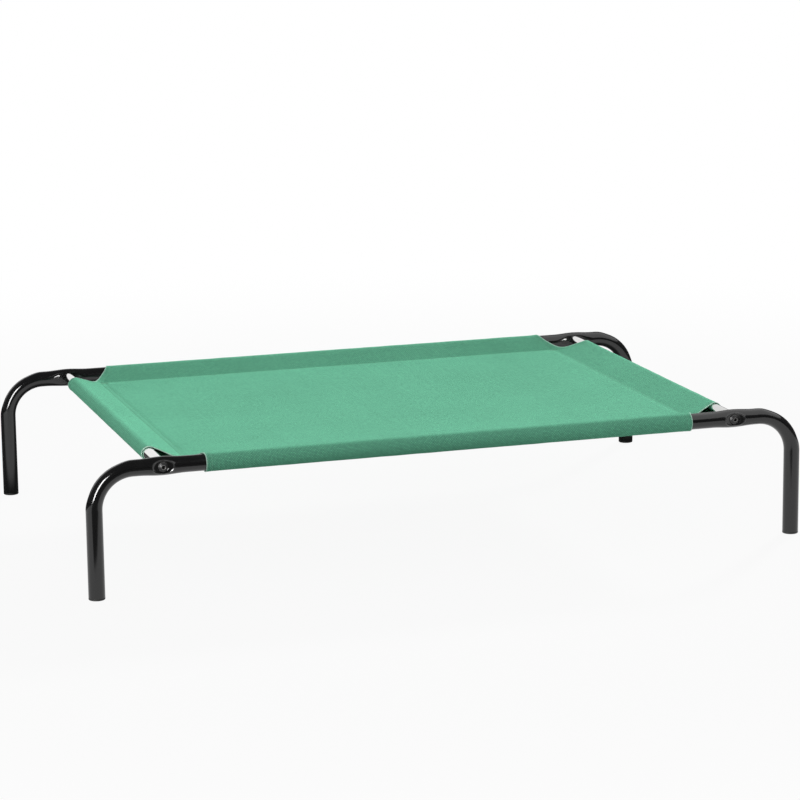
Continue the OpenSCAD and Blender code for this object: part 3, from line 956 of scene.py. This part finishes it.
class FoldedCover:
    """Where each point of the flat cut lies on the made up cover."""

    def __init__(self, size, cover):
        self.size, self.cover = size, cover
        layer = cover.cloth_gap + cover.cloth_t / 2
        drop, thick, hem = cover.seam_drop, cover.cloth_t, cover.hem_w
        self.side = SleevePath(size.tube_d / 2 + layer, cover.rail_seam, drop, thick, hem)
        self.end = SleevePath(size.bar_d / 2 + layer, cover.bar_seam, drop, thick, hem)
        self.deck_x = size.bolt_x - cover.bar_seam
        self.deck_y = size.rail_y - cover.rail_seam
        self.stop_x, self.stop_y = self.deck_x + SEAM_PAST[0], self.deck_y + SEAM_PAST[1]
        self.flat_x = self.deck_x + self.end.length
        self.flat_y = self.deck_y + self.side.length
        self.notch_rows = {
            sides: [inset_line(self.notch(*sides), row) for row in NOTCH_ROWS]
            for sides in CORNERS.values()}
        self.sewn_points = {sides: point_tree(lines) for sides, lines in self.notch_rows.items()}

    def end_mouth(self, side_x, side_y):
        """Half length of an end sleeve at one corner."""
        cover = self.cover
        left = side_x < 0
        slip, trim = (cover.slip_left, cover.trim_left) if left else (cover.slip_right, 0.0)
        return cover.end_mouth - trim + slip * (1 if side_y > 0 else -1)

    def side_mouth(self, side_x, side_y):
        """Half length of a side sleeve at one corner."""
        slip = self.cover.slip_front if side_y < 0 else 0.0
        return self.cover.side_mouth + slip * (1 if side_x > 0 else -1)

    def notch(self, side_x, side_y):
        """Cut edge at one corner, from hem to hem, as if in the first quadrant."""
        cover = self.cover
        side, mouth = self.side_mouth(side_x, side_y), self.end_mouth(side_x, side_y)
        start = self.deck_y + cover.flare_from
        inner_y = mouth + cover.mouth_rise
        inner = Vector((side + cover.flare * (start - inner_y), inner_y))
        over_bar = Vector((self.size.bolt_x, mouth))
        last = Vector((self.flat_x, mouth))
        line = [Vector((side, self.flat_y))]
        for corner, after in ((Vector((side, start)), inner), (inner, over_bar), (over_bar, last)):
            line += rounded(line[-1], corner, after, cover.notch_r)
        return line + [last]

    def sewn_depth(self, u, v):
        """How far the stitches beside the seams and notches pull the cloth in."""
        cover = self.cover
        gaps = [cover.groove_w]
        if abs(u) < self.stop_x:
            gaps.append(abs(abs(v) - self.deck_y + SEAM_ROWS[1]))
        if abs(v) < self.stop_y:
            gaps.append(abs(abs(u) - self.deck_x + SEAM_ROWS[1]))
        if min(abs(u) - cover.side_mouth, abs(v) - cover.end_mouth) > -GROOVE_REACH:
            tree = self.sewn_points[1 if u > 0 else -1, 1 if v > 0 else -1]
            gaps.append(tree.find((abs(u), abs(v), 0))[2])
        return cover.groove * max(0.0, 1 - min(gaps) / cover.groove_w)

    def deck_height(self, u, v):
        """Sag of the deck, and folds that fan out from the corners."""
        a, b = abs(u) / self.deck_x, abs(v) / self.deck_y
        fall = -self.cover.sag * (1 - a * a) * (1 - b * b)
        away = Vector((self.deck_x - abs(u), self.deck_y - abs(v)))
        change = FAN_CHANGE * (FAN_RIGHT * (u > 0) + FAN_REAR * (v > 0))
        fan = math.sin(FAN_FOLDS * math.atan2(away.y, away.x) + change + FAN_PHASE)
        fold = fan * math.exp(-away.length / FAN_REACH) * smooth_step(*FAN_START, away.length)
        edge = smooth_step(*FLAT_ENDS, a) * smooth_step(*FLAT_SIDES, b)
        slow = noise.noise(Vector((u * SLOW_SCALE, v * SLOW_SCALE, SLOW_SEED))) * SLOW_SHARE
        return fall + self.cover.pucker * edge * (fold + slow) - self.sewn_depth(u, v)

    def around(self, path, over, along, mouth, seed, sewn):
        """Place in a sleeve's section, with an open mouth, slow ripples and pulled in stitches."""
        spot = path.at(over)
        opened = MOUTH_OPEN * math.exp(-max(0.0, mouth - abs(along)) / MOUTH_FADE)
        wave = noise.noise(Vector((along * RIPPLE_ALONG, seed, spot.x * RIPPLE_ACROSS)))
        ripple = RIPPLE * wave * smooth_step(0, RIPPLE_FROM, over)
        return spot + spot.normalized() * (opened + ripple - SLEEVE_GROOVE * sewn)

    def past_seam(self, over, beyond):
        """Length of cloth past a seam, whose crease grows soft beyond the end of its stitches."""
        soft = self.cover.soft_crease * smooth_step(SOFT_FROM, SOFT_TO, beyond)
        if abs(over) >= soft:
            return max(0.0, over)
        return (over + soft) ** 2 / (4 * soft)

    def place(self, u, v):
        """The point of the made up cover for a point of the flat cut."""
        size, cover = self.size, self.cover
        spot = Vector((u, v, size.rail_z - cover.seam_drop))
        over_end, over_side = abs(u) - self.deck_x, abs(v) - self.deck_y
        if max(over_end, over_side) <= 0:
            spot.z += self.deck_height(u, v)
        sewn = self.sewn_depth(u, v)
        run = self.past_seam(over_end, over_side)
        if run > 0:
            mouth = self.end_mouth(u, v)
            inward, up = self.around(self.end, run, v, mouth, END_SEEDS[u > 0], sewn)
            spot.x = math.copysign(size.bolt_x - inward + over_end - run, u)
            spot.z += up + cover.seam_drop
        run = self.past_seam(over_side, over_end)
        if run > 0:
            mouth = self.side_mouth(u, v)
            inward, up = self.around(self.side, run, u, mouth, SIDE_SEEDS[v > 0], sewn)
            spot.y = math.copysign(size.rail_y - inward + over_side - run, v)
            spot.z += up + cover.seam_drop
        return spot

    def lifted(self, u, v, lift):
        """A point above the cover's outer side by a height, or below it where that is negative."""
        here = self.place(u, v)
        to_right, to_rear = self.place(u + NORMAL_STEP, v), self.place(u, v + NORMAL_STEP)
        return here + (to_right - here).cross(to_rear - here).normalized() * lift

    def area(self):
        """Area of the flat cut, less its four corners."""
        total = 4 * self.flat_x * self.flat_y
        for sides in CORNERS.values():
            outline = self.notch(*sides) + [Vector((self.flat_x, self.flat_y))]
            pairs = zip(outline, outline[1:] + outline[:1])
            total -= abs(sum(a.cross(b) for a, b in pairs)) / 2
        return total


def rounded(before, corner, after, radius):
    """Points of an arc that rounds a corner between two straight lines."""
    to_before, to_after = (before - corner).normalized(), (after - corner).normalized()
    half = to_before.angle(to_after) / 2
    reach = radius / math.tan(half)
    centre = corner + (to_before + to_after).normalized() * radius / math.sin(half)
    first, last = ((corner + way * reach - centre).normalized() for way in (to_before, to_after))
    return [centre + first.slerp(last, k / ROUND_STEPS) * radius for k in range(ROUND_STEPS + 1)]


def inset_line(line, width):
    """A line beside a cut edge, on the cloth's side of it."""
    ways = [(b - a).normalized() for a, b in zip(line, line[1:])]
    normals = []
    for before, after in zip([ways[0]] + ways, ways + [ways[-1]]):
        way = (before + after).normalized()
        normals.append(Vector((way.y, -way.x)))
    return [point + normal * width for point, normal in zip(line, normals)]


def gap_to(point, start, end):
    """Distance of a point from a stretch of line."""
    run = end - start
    share = min(1.0, max(0.0, (point - start).dot(run) / run.length_squared))
    return (point - start - run * share).length


def point_tree(lines):
    """Points close together along some lines of the flat cut, for finding the nearest one."""
    points = []
    for line in lines:
        for a, b in zip(line, line[1:]):
            count = math.ceil((b - a).length / POINT_STEP)
            points += [a.lerp(b, k / count) for k in range(count)]
    tree = kdtree.KDTree(len(points))
    for index, point in enumerate(points):
        tree.insert(point.to_3d(), index)
    tree.balance()
    return tree


# Cutting: cells beside the seams, start of finer lines before a mouth, and reach of the cuts
SEWN_CELL, SEAM_CELL = 5 * MM, 3 * MM
FINER_FROM = 20 * MM
NOTCH_MARGIN = 0.03
CUT_REACH = 8 * MM
CUT_GAP = 1e-7


def cut_lines(breaks, path):
    """Lines of the flat cut along one way, from edge to edge."""
    half = [0.0]
    for stop, cell in breaks:
        start, count = half[-1], max(1, round((stop - half[-1]) / cell))
        half += [start + (stop - start) * (k + 1) / count for k in range(count)]
    half += [half[-1] + row for row in path.stops()]
    return [-row for row in half[:0:-1]] + half


def sewn_breaks(seam, cover):
    """Lines up to a seam, close together along the inner row of stitches."""
    row, beside = seam - SEAM_ROWS[1], cover.groove_w
    return ((row - beside, SEWN_CELL), (row, beside), (row + beside, beside),
            (seam - CREASE_ROW, SEAM_CELL), (seam, CREASE_ROW))


def cut_notch(bm, fold, side_x, side_y):
    """Cuts one corner notch out of the flat cloth, and marks the sealed edge beside it, which is
    pale partly as a painted highlight.
    """
    cover = fold.cover
    turn = Matrix.Diagonal((side_x, side_y))
    line = fold.notch(side_x, side_y)
    insets = [cover.sealed_highlight_w]
    for row in NOTCH_ROWS:
        insets += [row - cover.groove_w, row, row + cover.groove_w]
    cuts = [line] + [inset_line(line, width) for width in insets]
    low = Vector((fold.side_mouth(side_x, side_y), fold.end_mouth(side_x, side_y)))
    low -= Vector((NOTCH_MARGIN, NOTCH_MARGIN))

    def middle(face):
        return turn @ face.calc_center_median().xy

    centres = {f: middle(f) for f in bm.faces}
    centres = {f: spot for f, spot in centres.items() if min(spot - low) > 0}
    for cut in cuts:
        for start, end in zip(cut, cut[1:]):
            (left, right), (front, rear) = (sorted(pair) for pair in zip(start, end))
            near = [f for f, spot in centres.items()
                    if left - CUT_REACH < spot.x < right + CUT_REACH
                    and front - CUT_REACH < spot.y < rear + CUT_REACH]
            parts = dict.fromkeys(g for f in near for g in (f, *f.edges, *f.verts))
            way = turn @ (end - start).normalized()
            made = bmesh.ops.bisect_plane(
                bm, geom=list(parts), dist=CUT_GAP, plane_co=(*(turn @ start), 0),
                plane_no=(-way.y, way.x, 0))["geom"]
            new = [g for g in made if isinstance(g, bmesh.types.BMFace)]
            centres.update((face, middle(face)) for face in new)
    pairs = list(zip(line, line[1:]))
    waste = [f for f in centres if all((b - a).cross(middle(f) - a) > 0 for a, b in pairs)]
    bmesh.ops.delete(bm, geom=waste, context="FACES")
    for face in centres:
        if face.is_valid and min(gap_to(middle(face), a, b) for a, b in pairs) < cover.sealed_highlight_w:
            face.material_index = 1


def cover_mesh(fold):
    """Flat cut of the cover with its corner notches, then folded up around the tubes."""
    cover = fold.cover
    finer = cover.end_mouth - FINER_FROM
    across = cut_lines(
        ((cover.side_mouth, cover.cell), *sewn_breaks(fold.deck_x, cover)), fold.end)
    along = cut_lines(((finer, cover.cell), *sewn_breaks(fold.deck_y, cover)), fold.side)
    columns, rows = len(across) - 1, len(along) - 1
    bm = bmesh.new()
    bmesh.ops.create_grid(bm, x_segments=columns, y_segments=rows, size=1.0)
    for v in bm.verts:
        column, row = round((v.co.x + 1) / 2 * columns), round((v.co.y + 1) / 2 * rows)
        v.co = (across[column], along[row], 0)
    for sides in CORNERS.values():
        cut_notch(bm, fold, *sides)
    flat = bm.loops.layers.uv.new(FLAT_MAP)
    for face in bm.faces:
        for loop in face.loops:
            loop[flat].uv = loop.vert.co.xy
    for v in bm.verts:
        v.co = fold.place(v.co.x, v.co.y)
    return bm


class COT_OT_cover(bpy.types.Operator):
    """Cuts the cover from flat cloth and folds its sleeves around the tubes"""

    bl_idname = "dog_cot.cover"
    bl_label = "Cover"

    def execute(self, context):
        size, cover, colours, _ = settings(context)
        finishes = [make(colours, cover.yarn_pitch)
                    for make in (cloth_material, sealed_edge_highlight_material)]
        bm = cover_mesh(FoldedCover(size, cover))
        cloth = new_piece("cover_cloth", bm, finishes, ["cover"], sharp=60.0)
        wall = cloth.modifiers.new("Cloth thickness", "SOLIDIFY")
        wall.thickness = cover.cloth_t
        wall.offset = 0.0
        # The cut rims take the pale edge finish, which is partly a painted highlight
        wall.material_offset_rim = 1
        return {"FINISHED"}


# Stitching

BEAD_SIDES, BEAD_RINGS = 6, 5
MOUTH_PAST = 20 * MM
# Lock stitches: count, step, distance from the seam's end, and their two ends beside the seam
LOCK_COUNT, LOCK_STEP, LOCK_FROM = 13, 0.8 * MM, 3 * MM
LOCK_ROWS = (1.8 * MM, 9.2 * MM)
# Height over the cloth, and the layers of cloth above the stitches under the deck
THREAD_LIFT = 0.05 * MM
UNDER_LAYERS = 1.62


def bead_mesh():
    """A round bead of few faces, which each stitch draws out."""
    bm = bmesh.new()
    bmesh.ops.create_uvsphere(bm, u_segments=BEAD_SIDES, v_segments=BEAD_RINGS, radius=1.0,
                              matrix=Matrix.Rotation(math.pi / 2, 4, "Y"))
    mesh = bpy.data.meshes.new("Bead")
    bm.to_mesh(mesh)
    bm.free()
    return mesh


def stitch(bm, bead, start, end, radius):
    """One stitch between two points, as a drawn out bead of thread."""
    run = end - start
    turned = run.to_track_quat("X", "Z").to_matrix().to_4x4()
    drawn = Matrix.Diagonal((run.length / 2, radius, radius, 1.0))
    place = Matrix.Translation((start + end) / 2) @ turned @ drawn
    bead.transform(place)
    bm.from_mesh(bead)
    bead.transform(place.inverted())


def stitch_along(bm, bead, fold, path, lift):
    """A row of stitches along a line of the flat cut."""
    cover = fold.cover
    pitch = cover.stitch_len + cover.stitch_gap
    left = pitch / 2
    for a, b in zip(path, path[1:]):
        a, b = Vector(a), Vector(b)
        total = (b - a).length
        way = (b - a) / total
        while left < total:
            middle = a + way * left
            ends = [middle - way * cover.stitch_len / 2, middle + way * cover.stitch_len / 2]
            points = [fold.lifted(p.x, p.y, lift) for p in ends]
            stitch(bm, bead, *points, cover.thread_d / 2)
            left += pitch
        left -= total


def seam_rows(fold):
    """Two rows beside each seam, as lines of the flat cut."""
    rows = []
    for row in SEAM_ROWS:
        for side in (-1, 1):
            y, x = side * (fold.deck_y - row), side * (fold.deck_x - row)
            front, rear = (
                min(fold.stop_y, fold.end_mouth(side, way) + MOUTH_PAST) for way in (-1, 1))
            rows.append([(-fold.stop_x, y), (fold.stop_x, y)])
            rows.append([(x, -front), (x, rear)])
    return rows


def notch_rows(fold):
    """Two rows beside the cut edge of each notch, from sleeve to sleeve."""
    rows = []
    for (side_x, side_y), lines in fold.notch_rows.items():
        rows += [[(side_x * p.x, side_y * p.y) for p in line] for line in lines]
    return rows


def lock_stitches(bm, bead, fold, lift):
    """Close cross stitches that lock the ends of the seams."""
    for side_x, side_y in CORNERS.values():
        for k in range(LOCK_COUNT):
            u = side_x * (fold.stop_x - LOCK_FROM - k * LOCK_STEP)
            ends = [fold.lifted(u, side_y * (fold.deck_y - row), lift) for row in LOCK_ROWS]
            stitch(bm, bead, *ends, fold.cover.thread_d / 2)


class COT_OT_stitching(bpy.types.Operator):
    bl_idname = "dog_cot.stitching"
    bl_label = "Stitching"

    def execute(self, context):
        size, cover, colours, _ = settings(context)
        fold = FoldedCover(size, cover)
        thread, bead = [thread_material(colours)], bead_mesh()

        def sew(name, rows, lift):
            bm = bmesh.new()
            for row in rows:
                stitch_along(bm, bead, fold, row, lift)
            lock_stitches(bm, bead, fold, lift)
            return new_piece(name, bm, thread, [], sharp=80.0)

        seams = seam_rows(fold)
        upper = sew("cover_stitches_top", seams + notch_rows(fold),
                    cover.cloth_t / 2 + THREAD_LIFT)
        lower = sew("cover_stitches_under", seams, -cover.cloth_t * UNDER_LAYERS - THREAD_LIFT)
        bpy.data.meshes.remove(bead)
        fold.area()
        return {"FINISHED"}


# Stage

SENSOR_WIDTH = 36.0
# Lamps that only show as gleams on the tubes: place, aim, width and height, and brightness
GLEAM_LAMPS = {
    "Strip light": ((-2.3, -2.0, 1.15), (-0.52, 0.0, 0.30), (0.9, 2.0), 26.0),
    "Card light": ((1.5, -0.45, 1.5), (1.5, -0.45, 0.0), (2.6, 3.6), 1.2),
}
# Room by direction: light of the dark side, where the back turns to it, and the left fill
DARK_SIDE_RISE, DARK_SIDE_SHARES = (0.0, 0.7), (0.6, 2.3)
BACK_TO_DARK_SIDE = (0.05, -0.35)
LEFT_FILL = (-0.60, -0.95)
# Wall and skirting that polished tubes reflect
WALL_EDGE = (0.74, 0.95)
SKIRTING_EDGE, SKIRTING_LEVEL = (0.04, 0.08), 0.06
# Floor: its disc, and the distances over which it fades to plain white
FLOOR_RADIUS, FLOOR_SIDES, FLOOR_DROP = 9.0, 96, 0.3 * MM
FLOOR_ROUGHNESS = 0.9
FLOOR_FADE = (0.9, 2.4)
# Edges of the white that polished tubes see on the floor: shares of X and Y, dark end, white end
FRONT_EDGE = (0.0, 1.0), (-0.72, -0.64)
RIGHT_EDGE = (1.0, 0.0), (0.35, 0.50)
CORNER_EDGE = (0.5, 0.866), (-0.80, -0.72)
LEFT_EDGE = (0.63, -0.78), (0.02, -0.06)
# Behind the cot the floor that polished tubes see is dark: a painted shadow of the cot, seen only
# in reflections
REAR_EDGE, REAR_LEVEL = (0.30, 0.15), 0.06


class COT_OT_stage(bpy.types.Operator):
    """Sets up the camera, the soft studio light and the pale floor"""

    bl_idname = "dog_cot.stage"
    bl_label = "Stage"

    def execute(self, context):
        _, _, colours, stage = settings(context)
        scene = context.scene
        scene.view_settings.view_transform = "Standard"
        self.place_camera(scene, stage)
        self.hang_lamps(scene, stage)
        self.light_room(scene, stage)
        self.lay_floor(scene, stage, colours)
        return {"FINISHED"}

    def place_camera(self, scene, stage):
        """Puts the camera at its place, turned by yaw, pitch and roll."""
        yaw, pitch, roll = stage.camera_yaw, stage.camera_pitch, stage.camera_roll
        level = math.cos(pitch)
        ahead = Vector((math.sin(yaw) * level, math.cos(yaw) * level, -math.sin(pitch)))
        right = Vector((math.cos(yaw), -math.sin(yaw), 0))
        up = right.cross(ahead)
        turned_right = math.cos(roll) * right + math.sin(roll) * up
        turned_up = math.cos(roll) * up - math.sin(roll) * right
        data = bpy.data.cameras.new("Camera")
        data.lens, data.sensor_width = stage.lens, SENSOR_WIDTH
        camera = bpy.data.objects.new("Camera", data)
        turn = Matrix((turned_right, turned_up, -ahead)).transposed().to_4x4()
        camera.matrix_world = Matrix.Translation(stage.camera_at) @ turn
        scene.collection.objects.link(camera)
        scene.camera = camera

    def hang_lamps(self, scene, stage):
        """Hangs the key light, and the lamps that are seen only in reflections."""
        key = bpy.data.lights.new("Key light", "SUN")
        key.energy, key.angle = stage.key_level, stage.key_angle
        self.hang(scene, key, Vector(stage.key_from)).visible_glossy = False
        for name, (place, aim, size, level) in GLEAM_LAMPS.items():
            card = bpy.data.lights.new(name, "AREA")
            card.shape, card.size, card.size_y = "RECTANGLE", *size
            card.energy = level * math.pi * size[0] * size[1]
            lamp = self.hang(scene, card, Vector(place) - Vector(aim))
            lamp.location = place
            lamp.visible_camera = False
            lamp.visible_diffuse = False

    def hang(self, scene, light, way):
        """Adds a lamp whose light comes from a direction."""
        lamp = bpy.data.objects.new(light.name, light)
        lamp.rotation_mode = "QUATERNION"
        lamp.rotation_quaternion = way.to_track_quat("Z", "Y")
        scene.collection.objects.link(lamp)
        return lamp

    def light_room(self, scene, stage):
        """White where it is seen, and otherwise a room that is dark on the camera's side."""
        world = bpy.data.worlds.new("Studio")
        world.use_nodes = True
        world.node_tree.nodes.clear()
        build = NodeBuilder(world.node_tree)
        place = build.add("ShaderNodeTexCoord").outputs["Generated"]
        way = build.add("ShaderNodeSeparateXYZ", {"Vector": place}).outputs
        path = build.add("ShaderNodeLightPath").outputs
        below, above = (share * stage.front_level for share in DARK_SIDE_SHARES)
        front = build.ramp(way["Z"], *DARK_SIDE_RISE, below, above)
        level = build.ramp(way["Y"], *BACK_TO_DARK_SIDE, stage.back_level, front)
        left = build.ramp(way["X"], *LEFT_FILL, 0.0, stage.left_level)
        level = build.math("ADD", level, left)
        # In polished tubes: a white wall behind the cot with a dark skirting, and flags around it
        wall = build.ramp(way["Y"], *WALL_EDGE, stage.flag_level, 1.0)
        skirting = build.ramp(way["Z"], *SKIRTING_EDGE, SKIRTING_LEVEL, 1.0)
        mirrored = build.math("MULTIPLY", wall, skirting)
        shown = build.math("MAXIMUM", path["Is Glossy Ray"], path["Is Transmission Ray"])
        change = build.math("SUBTRACT", mirrored, level)
        room = build.math("MULTIPLY_ADD", shown, change, level)
        white = build.math("SUBTRACT", 1.0, room)
        level = build.math("MULTIPLY_ADD", path["Is Camera Ray"], white, room)
        ground = build.add("ShaderNodeBackground", {"Color": WHITE, "Strength": level})
        build.add("ShaderNodeOutputWorld", {"Surface": ground.outputs[0]})
        scene.world = world

    def lay_floor(self, scene, stage, colours):
        """Lays a round floor just under the feet."""
        bm = bmesh.new()
        bmesh.ops.create_circle(bm, cap_ends=True, segments=FLOOR_SIDES, radius=FLOOR_RADIUS,
                                matrix=Matrix.Translation((0, 0, -FLOOR_DROP)))
        mesh = bpy.data.meshes.new("Floor")
        bm.to_mesh(mesh)
        bm.free()
        mesh.materials.append(self.floor_material(stage, colours))
        floor = bpy.data.objects.new("Floor", mesh)
        scene.collection.objects.link(floor)

    def floor_material(self, stage, colours):
        """Pale floor with a soft shadow near the cot, which fades to plain white further out."""
        material, build, shader, place, output = new_material("Floor")
        shader["Base Color"].default_value = colours.floor
        shader["Roughness"].default_value = FLOOR_ROUGHNESS
        shader["Specular IOR Level"].default_value = 0.0
        lit = shader["Base Color"].node.outputs[0]
        path = build.add("ShaderNodeLightPath").outputs
        mirrored = build.math("MAXIMUM", path["Is Glossy Ray"], path["Is Transmission Ray"])
        seen = build.math("MAXIMUM", path["Is Camera Ray"], mirrored)
        far = build.add("ShaderNodeVectorMath", {0: place}, operation="LENGTH").outputs["Value"]
        share = build.ramp(far, *FLOOR_FADE, stage.floor_white, 1.0)
        spot = build.add("ShaderNodeSeparateXYZ", {"Vector": place}).outputs

        def white_past(edge):
            (x, y), ends = edge
            along = build.math("MULTIPLY_ADD", spot["X"], x, build.math("MULTIPLY", spot["Y"], y))
            return build.ramp(along, *ends)

        # Polished tubes see white only near the cot: the floor is dark at the front left, and at
        # the rear, where the dark is a painted shadow of the cot
        near = build.math("MAXIMUM", white_past(FRONT_EDGE), white_past(RIGHT_EDGE))
        near = build.math("MINIMUM", near, white_past(CORNER_EDGE))
        near = build.math("MAXIMUM", near, white_past(LEFT_EDGE))
        paper = build.between(near, stage.flag_level, 1.0)
        paper = build.math("MULTIPLY", paper, build.ramp(spot["Y"], *REAR_EDGE, REAR_LEVEL, 1.0))
        level = build.math("MAXIMUM", paper, path["Is Camera Ray"])
        white = build.add("ShaderNodeEmission", {"Color": WHITE, "Strength": level}).outputs[0]
        clear = build.add("ShaderNodeBsdfTransparent").outputs[0]
        under = build.add("ShaderNodeNewGeometry").outputs["Backfacing"]
        share = build.math("MULTIPLY", seen, share)
        shown = build.add("ShaderNodeMixShader", {"Fac": share, 1: lit, 2: white}).outputs[0]
        shown = build.add("ShaderNodeMixShader", {"Fac": under, 1: shown, 2: clear}).outputs[0]
        build.put(output.inputs["Surface"], shown)
        return material


class COT_PT_panel(bpy.types.Panel):
    """Lists the steps that build the cot, and the sizes and colours that they use"""

    bl_idname = "COT_PT_panel"
    bl_label = "Raised Dog Cot"
    bl_space_type = "VIEW_3D"
    bl_region_type = "UI"
    bl_category = "Dog Cot"

    def draw(self, context):
        layout = self.layout
        for step in STEPS:
            layout.operator(step.bl_idname)
        for group in settings(context):
            box = layout.box()
            for key in group.__annotations__:
                box.prop(group, key)


GROUPS = {
    "cot_frame": CotFrameSizes,
    "cot_cover": CotCoverSizes,
    "cot_colours": CotColours,
    "cot_stage": CotStage,
}
STEPS = (
    COT_OT_stage,
    COT_OT_leg_tubes,
    COT_OT_end_bars,
    COT_OT_bolts,
    COT_OT_feet,
    COT_OT_cover,
    COT_OT_stitching,
)
CLASSES = (*GROUPS.values(), *STEPS, COT_PT_panel)


def register():
    for cls in CLASSES:
        bpy.utils.register_class(cls)
    for key, group in GROUPS.items():
        setattr(bpy.types.Scene, key, bpy.props.PointerProperty(type=group))


def unregister():
    for key in GROUPS:
        delattr(bpy.types.Scene, key)
    for cls in reversed(CLASSES):
        bpy.utils.unregister_class(cls)


def main():
    register()
    bpy.ops.dog_cot.stage()
    bpy.ops.dog_cot.leg_tubes()
    bpy.ops.dog_cot.end_bars()
    bpy.ops.dog_cot.bolts()
    bpy.ops.dog_cot.feet()
    bpy.ops.dog_cot.cover()
    bpy.ops.dog_cot.stitching()


if __name__ == "__main__":
    main()
